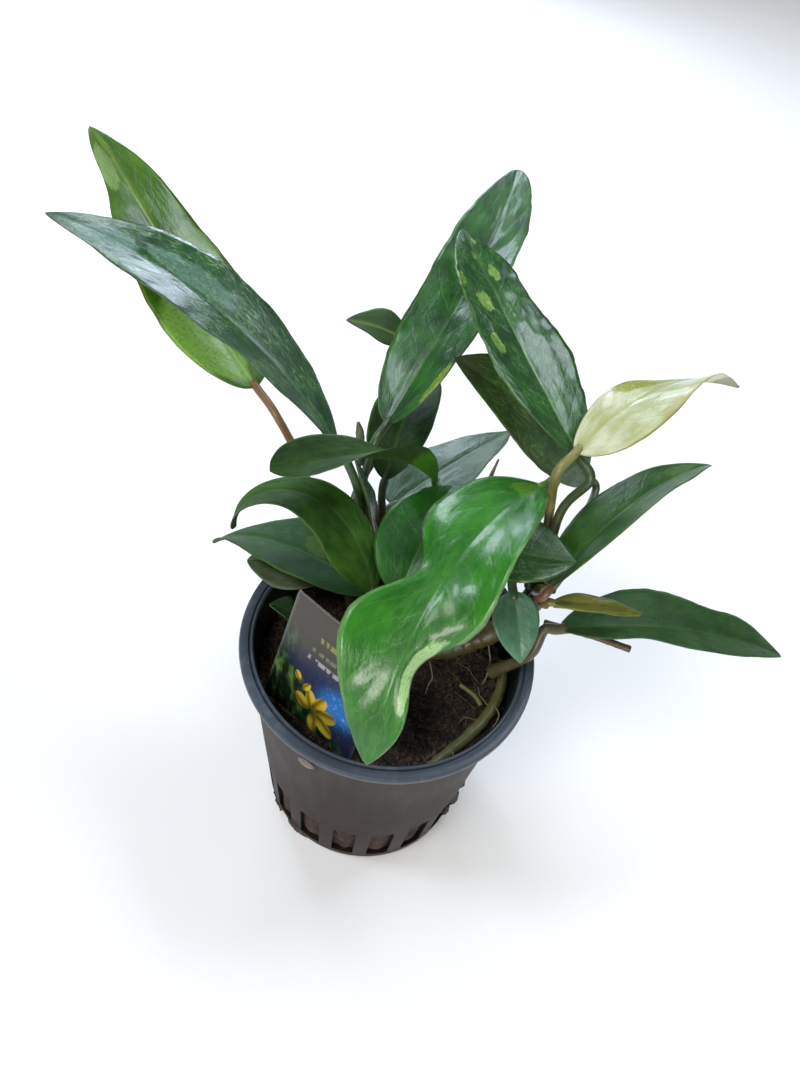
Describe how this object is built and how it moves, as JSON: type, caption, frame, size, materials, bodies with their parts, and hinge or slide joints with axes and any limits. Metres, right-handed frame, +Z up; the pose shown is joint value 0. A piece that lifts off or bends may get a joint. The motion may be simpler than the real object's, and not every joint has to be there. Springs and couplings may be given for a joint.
{
  "type": "potted anubias plant",
  "caption": "Aquarium anubias plant in a grey plastic net pot, with growing medium, rhizome, roots, a plain plant label and glossy lance-shaped leaves on stalks",
  "frame": {"origin": "Centre of the underside of the pot, on the surface that the pot stands on.", "axes": "+Z is up, along the axis of the pot. -Y is the front, over which the big front leaf hangs. +X is to the right seen from the front."},
  "size_m": [0.1543, 0.1126, 0.1091],
  "materials": {
    "pot_plastic": "semi-matt moulded grey plastic, slightly translucent",
    "medium": "damp dark brown fibre and peat",
    "label_card": "laminated card, plain colours, no lettering",
    "rhizome": "satin, olive brown",
    "root": "satin, yellow green",
    "stalk": "satin, reddish brown to green",
    "stem": "dull dark brown, cut end",
    "leaf_dark": "glossy dark green",
    "leaf_blue": "glossy blue green",
    "leaf_bright": "glossy fresh green",
    "leaf_light": "glossy yellow green",
    "leaf_cream": "satin cream to yellow green",
    "leaf_olive": "satin olive green",
    "leaf_brown": "satin grey brown green"
  },
  "bodies": {
    "root": {"cut_stem": "stem", "growing_medium": "medium", "leaf_behind_tall": "leaf_dark", "leaf_blue_back": "leaf_blue", "leaf_centre": "leaf_bright", "leaf_cream": "leaf_cream", "leaf_crown_small": "leaf_dark", "leaf_front": "leaf_bright", "leaf_hanging": "leaf_blue", "leaf_hooked": "leaf_light", "leaf_in_pot": "leaf_dark", "leaf_inner_right": "leaf_dark", "leaf_long_left": "leaf_blue", "leaf_low_left": "leaf_dark", "leaf_pale_back": "leaf_light", "leaf_right_lower": "leaf_dark", "leaf_right_upper": "leaf_dark", "leaf_rolled_new": "leaf_olive", "leaf_shaded_left": "leaf_brown", "leaf_small_back": "leaf_olive", "leaf_tall_back": "leaf_dark", "leaf_under_variegated": "leaf_olive", "leaf_upright_left": "leaf_light", "leaf_variegated": "leaf_dark", "net_pot": "pot_plastic", "petiole_behind_tall": "stalk", "petiole_blue_back": "stalk", "petiole_centre": "stalk", "petiole_cream": "stalk", "petiole_crown_small": "stalk", "petiole_front": "stalk", "petiole_hanging": "stalk", "petiole_hooked": "stalk", "petiole_in_pot": "stalk", "petiole_inner_right": "stalk", "petiole_long_left": "stalk", "petiole_low_left": "stalk", "petiole_pale_back": "stalk", "petiole_right_lower": "stalk", "petiole_right_upper": "stalk", "petiole_rolled_new": "stalk", "petiole_shaded_left": "stalk", "petiole_small_back": "stalk", "petiole_tall_back": "stalk", "petiole_under_variegated": "stalk", "petiole_upright_left": "stalk", "petiole_variegated": "stalk", "plant_label": "label_card", "rhizome_back": "rhizome", "rhizome_front": "rhizome", "root_along_wall": "root", "root_side": "root"}
  },
  "joints": []
}
